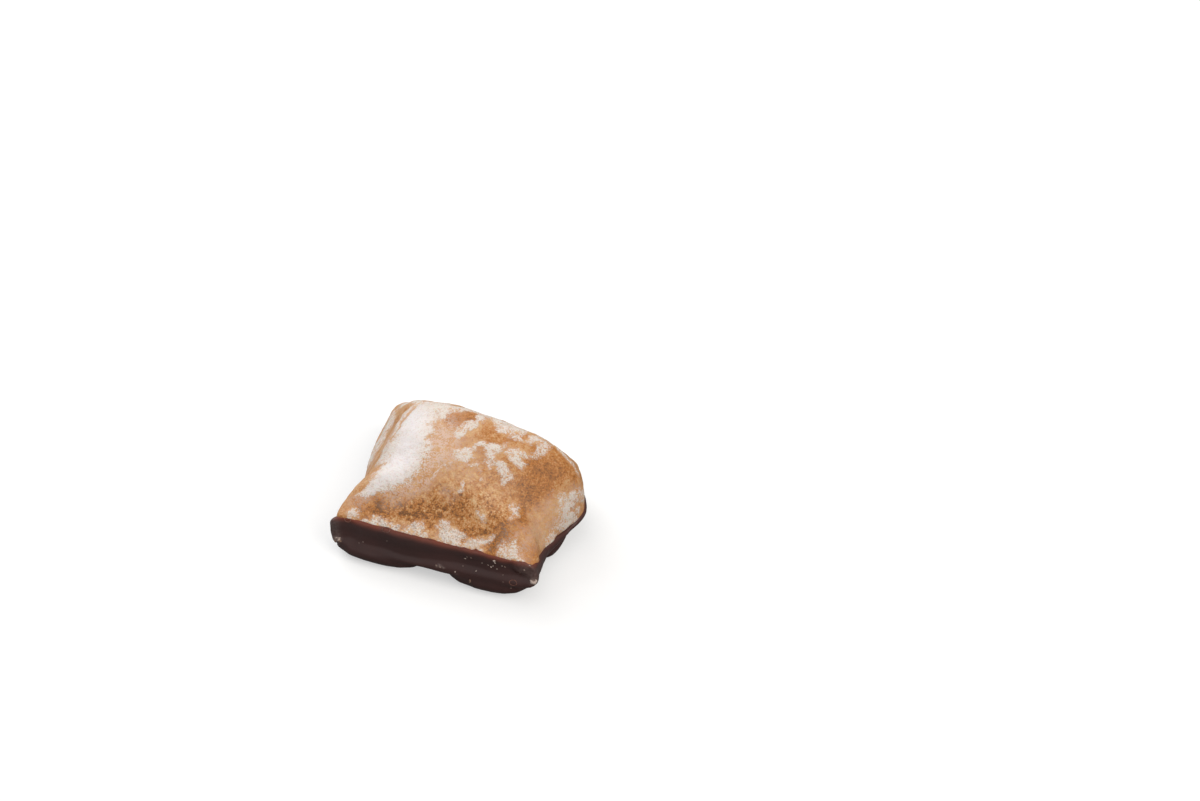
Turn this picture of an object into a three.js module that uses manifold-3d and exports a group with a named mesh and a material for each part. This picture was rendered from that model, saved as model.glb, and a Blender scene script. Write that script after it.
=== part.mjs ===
// A bite-size gingerbread cookie. A short length of dough strand is pinched off at both ends, so that it
// bakes into a pillow with two straight cut ends and drawn-in sides, and is then dipped in dark chocolate.
// Millimetres, +Z up. X runs along the front cut, Y along the strand from the front cut to the back cut.
// The origin is on the table, under the middle of the cookie.

import * as THREE from "three";
import { mergeVertices } from "three/addons/utils/BufferGeometryUtils.js";
import Module from "manifold-3d";

// Driving dimensions of the gingerbread
const FRONT_CUT = -17.0; // where the ends of the front cut are, along Y
const FRONT_BOW = 0.9; // how far the front cut bows out between its ends
const BACK_CUT = 16.2; // where the line between the ends of the back cut crosses the middle plane
const BACK_BOW = 1.4; // how far the back cut bows out between its ends
const BACK_SLANT = 9.5; // degrees that the back cut is turned from the front cut
const CUT_ROUNDING = 1.2; // radius of the edges round each cut face
const UNDERSIDE = 3.5; // height of the flat underside above the table
const WIDEST_HEIGHT = 6.2; // height at which the sides reach out furthest
const SKIRT_RISE = 3.2; // height over which the skirt at the foot of the left side fades out
const LUMP = 0.25; // height of the lumps that baking leaves in the crust
const LUMP_SPACING = 13; // distance from one lump to the next

// The strand at five places along its length, from the front cut to the back cut: the reach of its left and
// right sides from the middle plane, the skirt that spreads further at the foot of the left side, the height
// above the table, how far the crest leans off the middle plane, and the superellipse powers of the section's
// four quarters, upper left, upper right, lower left and lower right (2 is an ellipse, more is squarer).
const STATIONS = [
  { left: 21.3, right: 21.5, skirt: 0.2, height: 10.4, lean: 0.0, powers: [7.0, 7.0, 6.0, 4.0] },
  { left: 20.0, right: 20.2, skirt: 0.8, height: 17.9, lean: -2.0, powers: [2.5, 2.2, 3.2, 7.0] },
  { left: 20.2, right: 21.8, skirt: 2.8, height: 21.7, lean: -1.5, powers: [2.4, 2.4, 3.2, 5.0] },
  { left: 21.2, right: 23.8, skirt: 3.9, height: 21.5, lean: -1.5, powers: [2.5, 3.4, 3.2, 3.0] },
  { left: 23.0, right: 19.4, skirt: 2.4, height: 10.8, lean: 0.0, powers: [5.0, 5.5, 3.2, 3.2] },
];

// Driving dimensions of the chocolate
const COAT_FOOT = 1.2; // thickness low down on the sides
const COAT_LIP = 0.75; // thickness where it ends
const COAT_UNDERSIDE = 2.5; // height of its underside, between the feet
const FIT_GAP = 0.3; // clearance between the gingerbread and the chocolate

// The height that the chocolate reaches, all the way round: highest on the cuts, sagging along the sides.
// Each pair is a direction in plan, in degrees from +X, and the height there.
const TIDE = [
  [-180, 3.8], [-152, 4.2], [-146, 5.6], [-140, 8.4], [-132, 9.6], [-90, 9.9], [-60, 9.9], [-40, 9.5],
  [-31, 7.7], [-22, 6.6], [-13, 6.2], [1, 5.4], [12, 6.2], [19, 7.2], [26, 6.2], [38, 4.4],
  [60, 7.4], [85, 8.4], [110, 8.0], [130, 5.6], [142, 4.2], [180, 3.8],
];
const TIDE_WAVE = 0.2; // how far that line wavers
const TIDE_WAVE_SPACING = 8; // distance from one wave to the next

// The feet that the chocolate set in: the middle of each in plan, and its size
const FEET = [
  { x: 0, y: -1.5, length: 38, width: 30 },
  { x: -11.9, y: -12.4, length: 21.4, width: 16.4 },
  { x: 11.3, y: -12.2, length: 19.2, width: 16.4 },
  { x: -12.5, y: 9.5, length: 21.5, width: 18 },
  { x: 11.6, y: -1.5, length: 20, width: 15 },
  { x: 7.0, y: 8.5, length: 22, width: 14 },
];
const FOOT_MIDDLE = 2.2; // height at which a foot is widest
const FOOT_RADIUS = 3.8; // its half thickness there
const FOOT_POWER = 3; // superellipse power of its outline

// Mesh density: spaces across, along and up one pillow, round one foot, and along the tide slab's side
const ACROSS = 24;
const ALONG = 22;
const UP = 12;
const ROUND = 24;
const SLAB_SPACES = 36;
const SLAB_SIDE = 60; // length of the slab's side, more than the cookie's

const { lerp, smoothstep, degToRad, radToDeg } = THREE.MathUtils;

// A smooth curve through one value of the stations, from v = -1 at the front cut to v = 1 at the back cut.
function alongStrand(valueOf) {
  const curve = new THREE.SplineCurve(
    STATIONS.map((station, i) => new THREE.Vector2(i, valueOf(station))),
  );
  return (v) => curve.getPoint((v + 1) / 2).y;
}
const reachLeft = alongStrand(({ left }) => left);
const reachRight = alongStrand(({ right }) => right);
const skirtAt = alongStrand(({ skirt }) => skirt);
const heightAt = alongStrand(({ height }) => height);
const leanAt = alongStrand(({ lean }) => lean);
const powersAt = [0, 1, 2, 3].map((quarter) => alongStrand(({ powers }) => powers[quarter]));

// The two cuts in plan: each bows out between its ends, and the back one slants.
const bow = (x, end) => 1 - (x / end) ** 2;
const frontCutAt = (x) => FRONT_CUT - FRONT_BOW * bow(x, reachRight(-1));
const backCutAt = (x) => BACK_CUT + BACK_BOW * bow(x, reachLeft(1)) - x * Math.tan(degToRad(BACK_SLANT));

// Crowds evenly spaced values between -1 and 1 towards both ends, where the surface turns fastest.
const crowd = (s) => Math.sin((s * Math.PI) / 2);

// An unevenness between -1 and 1, with its hills and hollows in slanting rows about this far apart.
function unevenness(x, y, spacing) {
  const pace = (2 * Math.PI) / spacing;
  return Math.sin(pace * (x + 0.4 * y)) * Math.sin(pace * (0.7 * y - 0.3 * x) + 1);
}

// The pillow, grown outwards by a thickness that may depend on the height above the table.
function pillow(thicknessAt, underside) {
  const geometry = new THREE.BoxGeometry(2, 2, 2, ACROSS, ALONG, UP);
  const position = geometry.getAttribute("position");
  const point = new THREE.Vector3();
  for (let i = 0; i < position.count; i += 1) {
    point.fromBufferAttribute(position, i);
    const u = crowd(point.x);
    const v = point.y;
    const w = point.z;
    const isLow = w < 0;
    const isLeft = u < 0;

    // The superellipse that the square round of u and w is drawn in to.
    const power = powersAt[(isLow ? 2 : 0) + (isLeft ? 0 : 1)](v);
    const span = Math.max(Math.abs(u), Math.abs(w));
    const norm = (Math.abs(u) ** power + Math.abs(w) ** power) ** (1 / power);
    const reach = span > 0 ? span / norm : 1;

    const rise = isLow ? WIDEST_HEIGHT - underside : heightAt(v) - WIDEST_HEIGHT;
    const thickness = thicknessAt(WIDEST_HEIGHT + rise * reach * w);
    let z = WIDEST_HEIGHT + (isLow ? rise : rise + thickness) * reach * w;

    const lean = leanAt(v);
    const skirt = isLeft ? skirtAt(v) * Math.exp(-(((z - WIDEST_HEIGHT) / SKIRT_RISE) ** 2)) : 0;
    const side = (isLeft ? reachLeft(v) + lean : reachRight(v) - lean) + skirt + thickness;
    const x = lean + side * reach * u;

    let y = lerp(frontCutAt(x), backCutAt(x), (v + 1) / 2);
    const isCut = Math.abs(v) === 1;
    if (isCut) {
      const toEdge = span > 0 ? (1 / span - 1) * Math.hypot(x - lean, z - WIDEST_HEIGHT) : CUT_ROUNDING;
      const turn = Math.min(toEdge / CUT_ROUNDING, 1);
      y += v * (CUT_ROUNDING * Math.sqrt(1 - (1 - turn) ** 2) + thickness);
    }

    // The lumps fade out towards the sides and the cuts.
    if (!isLow) z += LUMP * unevenness(x, y, LUMP_SPACING) * Math.min(1, 2 * reach * w) * (1 - v ** 8);
    position.setXYZ(i, x, y, z);
  }
  return geometry;
}

// A closed geometry as a solid that can be cut and joined.
const wasm = await Module();
wasm.setup();
function solidOf(geometry) {
  const bare = geometry.clone();
  bare.deleteAttribute("normal");
  bare.deleteAttribute("uv");
  const merged = mergeVertices(bare, 1e-4);
  return new wasm.Manifold(
    new wasm.Mesh({
      numProp: 3,
      vertProperties: new Float32Array(merged.getAttribute("position").array),
      triVerts: new Uint32Array(merged.index.array),
    }),
  );
}

// A solid back as a geometry that can be drawn.
function geometryOf(solid) {
  const { vertProperties, triVerts } = solid.getMesh();
  const geometry = new THREE.BufferGeometry();
  geometry.setAttribute("position", new THREE.BufferAttribute(vertProperties, 3));
  geometry.setIndex(new THREE.BufferAttribute(triVerts, 1));
  geometry.computeVertexNormals();
  return geometry;
}

// The height that the chocolate reaches at a place in plan.
const tideLine = new THREE.SplineCurve(TIDE.map((pair) => new THREE.Vector2(...pair)));
function tideAt(x, y) {
  const degrees = radToDeg(Math.atan2(y, x));
  const next = Math.max(1, TIDE.findIndex(([end]) => degrees <= end));
  const from = TIDE[next - 1][0];
  const to = TIDE[next][0];
  const along = (next - 1 + (degrees - from) / (to - from)) / (TIDE.length - 1);
  return tideLine.getPoint(along).y + TIDE_WAVE * unevenness(x, y, TIDE_WAVE_SPACING);
}

// A slab from the table up to that height.
function belowTide() {
  const slab = new THREE.BoxGeometry(SLAB_SIDE, SLAB_SIDE, 2, SLAB_SPACES, SLAB_SPACES, 1);
  const position = slab.getAttribute("position");
  for (let i = 0; i < position.count; i += 1) {
    const isTop = position.getZ(i) > 0;
    position.setZ(i, isTop ? tideAt(position.getX(i), position.getY(i)) : 0);
  }
  return slab;
}

// One foot, a squashed ball with a squarish outline.
function footPad({ x, y, length, width }) {
  const ball = new THREE.SphereGeometry(1, ROUND, ROUND / 2).rotateX(Math.PI / 2);
  const position = ball.getAttribute("position");
  for (let i = 0; i < position.count; i += 1) {
    const turn = Math.atan2(position.getY(i), position.getX(i));
    const norm = Math.abs(Math.cos(turn)) ** FOOT_POWER + Math.abs(Math.sin(turn)) ** FOOT_POWER;
    const spread = norm ** (-1 / FOOT_POWER);
    position.setX(i, position.getX(i) * spread);
    position.setY(i, position.getY(i) * spread);
  }
  return ball.scale(length / 2, width / 2, FOOT_RADIUS).translate(x, y, FOOT_MIDDLE);
}

// The chocolate thins from foot to lip.
const coatAt = (z) => lerp(COAT_FOOT, COAT_LIP, smoothstep(z, COAT_UNDERSIDE, heightAt(-1)));

const gingerbread = new THREE.Mesh(
  pillow(() => 0, UNDERSIDE),
  new THREE.MeshStandardMaterial({ color: 0xb9824f, roughness: 0.5 }),
);
gingerbread.name = "gingerbread";

const pocket = solidOf(pillow(() => FIT_GAP, UNDERSIDE - FIT_GAP));
const coat = FEET.reduce(
  (solid, foot) => solid.add(solidOf(footPad(foot))),
  solidOf(pillow(coatAt, COAT_UNDERSIDE)),
);
const dipped = coat.intersect(solidOf(belowTide())).subtract(pocket);
const chocolateBase = new THREE.Mesh(
  geometryOf(dipped),
  new THREE.MeshStandardMaterial({ color: 0x33231f, roughness: 0.35 }),
);
chocolateBase.name = "chocolate_base";

const cookie = new THREE.Group();
cookie.add(gingerbread, chocolateBase);

// Puts the middle of the cookie's outline over the origin.
const middle = new THREE.Box3().setFromObject(cookie).getCenter(new THREE.Vector3());
for (const { geometry } of [gingerbread, chocolateBase]) {
  geometry.translate(-middle.x, -middle.y, 0);
}

export default cookie;
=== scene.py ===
"""A bite-size gingerbread pillow, sugar-glazed and dipped in dark chocolate, dressed on its CAD solids."""

import logging
import math
from collections.abc import Iterator
from contextlib import contextmanager
from dataclasses import dataclass
from enum import Enum

import bpy
import numpy as np
from mathutils import Matrix, Vector, noise
from mathutils.bvhtree import BVHTree


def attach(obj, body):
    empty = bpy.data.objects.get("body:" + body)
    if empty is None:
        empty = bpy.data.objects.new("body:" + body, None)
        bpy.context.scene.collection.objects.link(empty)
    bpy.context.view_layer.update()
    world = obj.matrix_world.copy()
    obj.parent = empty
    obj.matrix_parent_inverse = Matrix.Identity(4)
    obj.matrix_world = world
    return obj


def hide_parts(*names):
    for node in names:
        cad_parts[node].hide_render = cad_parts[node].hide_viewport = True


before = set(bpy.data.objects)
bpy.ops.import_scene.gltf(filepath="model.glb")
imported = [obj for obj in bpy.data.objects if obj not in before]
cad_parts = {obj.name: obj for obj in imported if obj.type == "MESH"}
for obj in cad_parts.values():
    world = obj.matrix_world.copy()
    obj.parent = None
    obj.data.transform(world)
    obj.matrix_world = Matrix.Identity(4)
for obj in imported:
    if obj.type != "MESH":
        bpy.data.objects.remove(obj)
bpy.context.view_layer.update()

MM = 0.001
MERGE_DISTANCE = 0.001 * MM
NOISE_SHIFT = Vector((17.3, 5.1, 9.7))
SMOOTHING = 0.5
SIDEWAYS = (1, 1, 0)
log = logging.getLogger("gingerbread")

# A span goes from one limit to another, and a step also has the height it reaches. A line has a slope and a
# start, and a bump a strength and a depth in millimetres. A pattern has its hills this many millimetres apart,
# its detail, and the strength of the finest detail.
Pixel = tuple[float, float]
Span = tuple[float, float]
Step = tuple[float, float, float]
Line = tuple[float, float]
Bump = tuple[float, float]
Pattern = tuple[float, float, float]
Profile = tuple[tuple[float, float], ...]
Colour = tuple[float, float, float, float]
Piece = bpy.types.Object
Material = bpy.types.Material
Socket = bpy.types.NodeSocket
Value = Socket | float


class Node(Enum):
    """The CAD solids that the finished pieces stand for."""

    GINGERBREAD = "gingerbread"
    CHOCOLATE = "chocolate_base"


class Slot(Enum):
    """The record's material slots."""

    CRUST = "crust"
    CHOCOLATE = "chocolate"


class Seed(Enum):
    """The noises that shape and paint the meshes, each with the number that picks it."""

    LUMPS = 1
    WRINKLES = 2
    PATCHES = 5
    FRAYING = 6
    TOASTING = 7
    PITS = 8
    RIPPLES = 11
    WALL = 21
    WAVER_X = 31
    WAVER_Y = 32
    WAVER_Z = 33


# Mesh tools


def select_only(piece: Piece) -> None:
    """Makes one object the only selected and active one.

    Args:
        piece: the object to work on next.
    """
    bpy.ops.object.select_all(action="DESELECT")
    piece.select_set(True)
    bpy.context.view_layer.objects.active = piece


def finish_with(piece: Piece, kind: str, **settings: object) -> None:
    """Adds one modifier to a piece and applies it.

    Args:
        piece: the object to change.
        kind: the modifier's type.
        settings: the modifier's own settings.
    """
    modifier = piece.modifiers.new(kind.lower(), kind)
    for name, value in settings.items():
        setattr(modifier, name, value)
    select_only(piece)
    bpy.ops.object.modifier_apply(modifier=modifier.name)


@contextmanager
def editing() -> Iterator[None]:
    """Opens the active object in edit mode, with all of its mesh selected.

    Yields:
        Nothing. The object closes again after the block.
    """
    bpy.ops.object.mode_set(mode="EDIT")
    bpy.ops.mesh.select_all(action="SELECT")
    yield
    bpy.ops.object.mode_set(mode="OBJECT")


def copy_of_node(node: Node, name: str) -> Piece:
    """Copies a CAD solid to a new object, with the loose triangles of its mesh merged.

    Args:
        node: the CAD solid.
        name: what the copy is called.

    Returns:
        The copy, the only selected object.
    """
    piece = bpy.data.objects.new(name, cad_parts[node.value].data.copy())
    piece.data.materials.clear()
    bpy.context.scene.collection.objects.link(piece)
    select_only(piece)
    with editing():
        bpy.ops.mesh.remove_doubles(threshold=MERGE_DISTANCE)
    return piece


def vectors_of(items: bpy.types.bpy_prop_collection, name: str) -> np.ndarray:
    """Reads one vector from each item of a mesh.

    Args:
        items: the mesh's vertices or normals.
        name: what to read from each.

    Returns:
        The vectors, one per row.
    """
    values = np.empty(len(items) * 3)
    items.foreach_get(name, values)
    return values.reshape(-1, 3)


def points_of(piece: Piece) -> np.ndarray:
    """Returns a piece's vertices as an array of places."""
    return vectors_of(piece.data.vertices, "co")


def normals_of(piece: Piece) -> np.ndarray:
    """Returns a piece's vertex normals as an array of directions."""
    return vectors_of(piece.data.vertex_normals, "vector")


def move_points(piece: Piece, points: np.ndarray) -> None:
    """Puts a piece's vertices at new places."""
    piece.data.vertices.foreach_set("co", points.ravel())
    piece.data.update()


def set_attribute(piece: Piece, name: str, values: np.ndarray) -> None:
    """Stores one number per vertex for the materials to read."""
    attribute = piece.data.attributes.new(name, "FLOAT", "POINT")
    attribute.data.foreach_set("value", values.astype(np.float32))


def tree_of(piece: Piece) -> BVHTree:
    """Returns a search tree of a piece's surface."""
    mesh = piece.data
    return BVHTree.FromPolygons([v.co for v in mesh.vertices], [face.vertices for face in mesh.polygons])


def smoothstep(low: float, high: float, values: np.ndarray) -> np.ndarray:
    """Returns a soft step from 0 at low to 1 at high."""
    t = np.clip((values - low) / (high - low), 0, 1)
    return t * t * (3 - 2 * t)


def noise_at(points: np.ndarray, size: float, seed: Seed) -> np.ndarray:
    """Evaluates smooth noise at places on a mesh.

    Args:
        points: the places.
        size: distance in millimetres from one hill of the noise to the next.
        seed: which noise.

    Returns:
        One number from about -1 to 1 per place.
    """
    offset = NOISE_SHIFT * seed.value
    places = points / (size * MM)
    return np.fromiter((noise.noise(Vector(place) + offset) for place in places), float, len(places))


# Camera and studio


@dataclass(frozen=True)
class PhotoCamera:
    """The camera at the photograph's viewing angle, found from the cookie's outline.

    Angles are in degrees, lens and sensor in millimetres, the picture's size in pixels.
    """

    azimuth: float = 21.0
    elevation: float = 38.0
    lens: float = 100.0
    sensor: float = 36.0
    width: int = 1200
    height: int = 801
    origin_pixel: Pixel = (468.3, 517.2)
    pixels_per_mm: float = 4.865
    clip_start: float = 0.01

    @property
    def axes(self) -> Matrix:
        """The camera's own directions.

        Returns:
            Right, up and backward, as columns.
        """
        turn = math.radians(self.azimuth)
        rise = math.radians(self.elevation)
        right = Vector((math.cos(turn), math.sin(turn), 0))
        back = Vector((math.sin(turn) * math.cos(rise), -math.cos(turn) * math.cos(rise), math.sin(rise)))
        return Matrix((right, back.cross(right), back)).transposed()

    @property
    def focal_pixels(self) -> float:
        """The focal length in pixels."""
        return self.lens / self.sensor * self.width

    @property
    def eye(self) -> Vector:
        """The camera's place, from where the origin appears in the picture."""
        distance = self.focal_pixels / self.pixels_per_mm * MM
        return -(self.axes @ self._slope(self.origin_pixel)) * distance

    def _slope(self, pixel: Pixel) -> Vector:
        """Finds the direction of a pixel in the camera's own axes.

        Args:
            pixel: where the camera looks.

        Returns:
            The direction, one unit deep.
        """
        across = (pixel[0] - self.width / 2) / self.focal_pixels
        upward = (self.height / 2 - pixel[1]) / self.focal_pixels
        return Vector((across, upward, -1))

    def ray(self, pixel: Pixel) -> Vector:
        """Returns the direction in which a pixel looks."""
        return (self.axes @ self._slope(pixel)).normalized()

    def build(self) -> None:
        """Sets the camera up as the scene's own."""
        bpy.ops.object.camera_add(location=self.eye)
        camera = bpy.context.object
        camera.name = "photo_camera"
        camera.matrix_world = Matrix.Translation(self.eye) @ self.axes.to_4x4()
        camera.data.sensor_fit = "HORIZONTAL"
        camera.data.sensor_width = self.sensor
        camera.data.lens = self.lens
        camera.data.clip_start = self.clip_start
        bpy.context.scene.camera = camera


@dataclass(frozen=True)
class SoftBox:
    """One studio light: a square softbox that points at the cookie."""

    name: str
    place: tuple[float, float, float]
    side: float
    watts: float
    tint: tuple[float, float, float] = (1.0, 1.0, 1.0)

    def build(self) -> None:
        """Hangs the light."""
        bpy.ops.object.light_add(type="AREA", location=self.place)
        lamp = bpy.context.object
        lamp.name = self.name
        lamp.rotation_euler = Vector(self.place).to_track_quat("Z", "Y").to_euler()
        lamp.data.size = self.side
        lamp.data.energy = self.watts
        lamp.data.color = self.tint


@dataclass(frozen=True)
class Studio:
    """A white table under a white sky, with soft boxes round it."""

    floor_side: float = 4.0
    floor_drop: float = 0.02 * MM
    floor_seen: Colour = (0.5, 0.5, 0.5, 1)
    floor_bounce: Colour = (0.25, 0.25, 0.25, 1)
    floor_roughness: float = 0.9
    white: Colour = (1, 1, 1, 1)
    black: Colour = (0, 0, 0, 1)
    sky: float = 0.42
    glow: float = 0.49
    boxes: tuple[SoftBox, ...] = (
        SoftBox("key_light", (-0.52, 0.34, 0.38), 0.60, 3.5),
        SoftBox("top_light", (-0.12, 0.0, 0.75), 0.90, 1.5),
        SoftBox("front_light", (-0.33, -0.85, 0.40), 0.80, 0.6),
        SoftBox("side_light", (0.74, -0.26, 0.62), 0.80, 6.2, (1.0, 0.95, 0.88)),
    )

    def build(self) -> None:
        """Lays the table and hangs the lights."""
        bpy.ops.mesh.primitive_plane_add(size=self.floor_side, location=(0, 0, -self.floor_drop))
        floor = bpy.context.object
        floor.name = "table"
        floor.data.materials.append(self._floor_finish())
        world = bpy.data.worlds.new("white_sky")
        world.use_nodes = True
        world.node_tree.nodes["Background"].inputs["Strength"].default_value = self.sky
        world.node_tree.nodes["Background"].inputs["Color"].default_value = self.white
        bpy.context.scene.world = world
        for box in self.boxes:
            box.build()
        bpy.context.scene.view_settings.view_transform = "Standard"

    def _floor_finish(self) -> Material:
        """Draws up the table's white, which glows for the camera alone and throws little light back.

        Returns:
            The finished material.
        """
        material, sketch, shader = start_material("table_white")
        seen = sketch.add("LightPath", {}).outputs["Is Camera Ray"]
        sketch.put(shader["Base Color"], sketch.mix(seen, self.floor_bounce, self.floor_seen))
        sketch.put(shader["Emission Color"], sketch.mix(seen, self.black, self.white))
        shader["Emission Strength"].default_value = self.glow
        shader["Roughness"].default_value = self.floor_roughness
        shader["Specular IOR Level"].default_value = 0.0
        return material


# Painting on the meshes


@dataclass(frozen=True)
class Stroke:
    """One touch of the brush.

    path holds the places it passes, in the photograph's pixels; half_width is in millimetres, where it
    has faded by half; strength is how much it covers in the middle.
    """

    path: tuple[Pixel, ...]
    half_width: float
    strength: float


Strokes = tuple[Stroke, ...]


def strokes(*rows: tuple[float | Pixel, ...]) -> Strokes:
    """Returns strokes that are each given as a half width, a strength and the places on its path."""
    return tuple(Stroke(tuple(path), half_width, strength) for half_width, strength, *path in rows)


class Brush:
    """Lays strokes on a mesh.

    Its strokes waver by two noises, each this many millimetres high and wide.
    """

    bends: tuple[Span, ...] = ((0.9, 3.2), (0.5, 1.3))
    tiny: float = 1e-12

    def __init__(self, piece: Piece, camera: PhotoCamera) -> None:
        """Prepares a piece for painting.

        Args:
            piece: what to paint.
            camera: the camera whose pixels the strokes are given in.
        """
        self.camera = camera
        self.points = points_of(piece)
        self.tree = tree_of(piece)
        self.waver = np.stack([self._bend(seed) for seed in (Seed.WAVER_X, Seed.WAVER_Y, Seed.WAVER_Z)], axis=1) * MM

    def _bend(self, seed: Seed) -> np.ndarray:
        """Returns how far each vertex's stroke wavers along one axis."""
        return sum(height * noise_at(self.points, size, seed) for height, size in self.bends)

    def spot(self, pixel: Pixel) -> Vector:
        """Finds the place on the piece that a pixel of the photograph shows.

        Args:
            pixel: where to look.

        Returns:
            The place hit, or the nearest one if the pixel is just beside the piece.
        """
        eye = self.camera.eye
        ray = self.camera.ray(pixel)
        hit = self.tree.ray_cast(eye, ray)[0]
        return hit or self.tree.find_nearest(eye + ray * eye.length)[0]

    def lay(self, touches: Strokes) -> np.ndarray:
        """Lays strokes over each other.

        Args:
            touches: the strokes to lay.

        Returns:
            How far each vertex is covered, from 0 to 1.
        """
        points = self.points + self.waver
        bare = np.ones(len(points))
        for stroke in touches:
            spots = [np.array(self.spot(pixel)) for pixel in stroke.path]
            away = np.full(len(points), np.inf)
            for start, end in zip(spots, spots[1:] or spots):
                along = end - start
                length = max(along @ along, self.tiny)
                share = np.clip((points - start) @ along / length, 0, 1)
                away = np.minimum(away, np.linalg.norm(points - start - share[:, None] * along, axis=1))
            bare *= 1 - stroke.strength * (1 - smoothstep(0, 2 * stroke.half_width * MM, away))
        return 1 - bare


# Finishes


def srgb(red: int, green: int, blue: int) -> Colour:
    """Turns a colour as it looks on a screen into the renderer's own light values.

    Args:
        red: its red, from 0 to 255.
        green: its green.
        blue: its blue.

    Returns:
        The colour, opaque.
    """
    parts = (channel / 255 for channel in (red, green, blue))
    light = [part / 12.92 if part <= 0.04045 else ((part + 0.055) / 1.055) ** 2.4 for part in parts]
    return (*light, 1.0)


class NodeSketch:
    """A node tree that is being drawn up."""

    def __init__(self, tree: bpy.types.NodeTree) -> None:
        """Starts from a tree as it is."""
        self.tree = tree

    def add(self, kind: str, inputs: dict[str | int, Value | Colour], **settings: object) -> bpy.types.Node:
        """Adds a node.

        Args:
            kind: the node's type, without its leading "ShaderNode".
            inputs: numbers, colours or other nodes' outputs for its sockets.
            settings: the node's own settings.

        Returns:
            The new node.
        """
        node = self.tree.nodes.new("ShaderNode" + kind)
        for name, value in settings.items():
            setattr(node, name, value)
        for socket, value in inputs.items():
            self.put(node.inputs[socket], value)
        return node

    def put(self, socket: Socket, value: Value | Colour) -> None:
        """Links an output to a socket, or sets its number or colour.

        Args:
            socket: what to fill.
            value: another node's output, a number or a colour.
        """
        if isinstance(value, Socket):
            self.tree.links.new(value, socket)
        else:
            socket.default_value = value

    def math(self, operation: str, first: Value, second: Value = 0.0, third: Value = 0.0) -> Socket:
        """Returns the result of a sum."""
        return self.add("Math", {0: first, 1: second, 2: third}, operation=operation).outputs[0]

    def line(self, value: Value, slope: Value, start: Value) -> Socket:
        """Returns a value times a slope, from a start."""
        return self.math("MULTIPLY_ADD", value, slope, start)

    def mix(self, share: Value, first: Value | Colour, second: Value | Colour) -> Socket:
        """Returns a mix of two colours."""
        return self.add("Mix", {0: share, 6: first, 7: second}, data_type="RGBA").outputs[2]

    def step(self, value: Value, low: float, high: float, top: float = 1.0) -> Socket:
        """Returns a soft step of a value, from 0 at low to top at high."""
        inputs = {0: value, 1: low, 2: high, 3: 0.0, 4: top}
        return self.add("MapRange", inputs, interpolation_type="SMOOTHSTEP").outputs[0]

    def noise(self, place: Value, size: float, detail: float, fineness: float) -> Socket:
        """Returns noise with hills this many millimetres apart."""
        inputs = {"Vector": place, "Scale": 1 / (size * MM), "Detail": detail, "Roughness": fineness}
        return self.add("TexNoise", inputs).outputs[0]

    def wave(self, pattern: Value, height: Value, level: Value) -> Socket:
        """Returns a level that a pattern raises and lowers by half of this height each way."""
        return self.line(self.math("SUBTRACT", pattern, 0.5), height, level)

    def waves(self, level: Value, *patterns: tuple[Value, Value]) -> Value:
        """Lets several patterns raise and lower a level.

        Args:
            level: where to start.
            patterns: each a pattern and its height.

        Returns:
            The level after all of them.
        """
        for pattern, height in patterns:
            level = self.wave(pattern, height, level)
        return level

    def ramp(self, value: Value, stops: tuple[tuple[float, Colour], ...]) -> Socket:
        """Looks a value up on a colour ramp.

        Args:
            value: where to look.
            stops: the ramp's places and their colours.

        Returns:
            The colour there.
        """
        node = self.add("ValToRGB", {0: value})
        elements = node.color_ramp.elements
        while len(elements) < len(stops):
            elements.new(1.0)
        for element, (place, colour) in zip(elements, stops):
            element.position = place
            element.color = colour
        return node.outputs[0]

    def attribute(self, name: str) -> Socket:
        """Returns a number stored on the mesh."""
        return self.add("Attribute", {}, attribute_name=name).outputs["Fac"]

    def place(self) -> Socket:
        """Returns the place on the piece, in its own coordinates."""
        return self.add("TexCoord", {}).outputs["Object"]

    def group(self, group: bpy.types.NodeTree, inputs: dict[str, Value]) -> bpy.types.Node:
        """Places a node group."""
        return self.add("Group", inputs, node_tree=group)

    def bump(self, height: Value, strength: float, depth: float) -> Socket:
        """Returns the normal of a fine relief this many millimetres deep."""
        return self.add("Bump", {"Strength": strength, "Distance": depth * MM, "Height": height}).outputs[0]


def start_material(name: str) -> tuple[Material, NodeSketch, bpy.types.bpy_prop_collection]:
    """Starts a material.

    Args:
        name: what it is called.

    Returns:
        The material, its node tree ready for drawing, and the sockets of its shader.
    """
    material = bpy.data.materials.new(name)
    material.use_nodes = True
    return material, NodeSketch(material.node_tree), material.node_tree.nodes["Principled BSDF"].inputs


# The fine grain: its contrast, and its dots, which are further apart and this far across.
GRAIN_DETAIL = 2.0
GRAIN_SPAN = (0.25, 0.75)
DOT_DENSITY = 0.4
DOT_SPAN = (0.28, 0.12)


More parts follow.
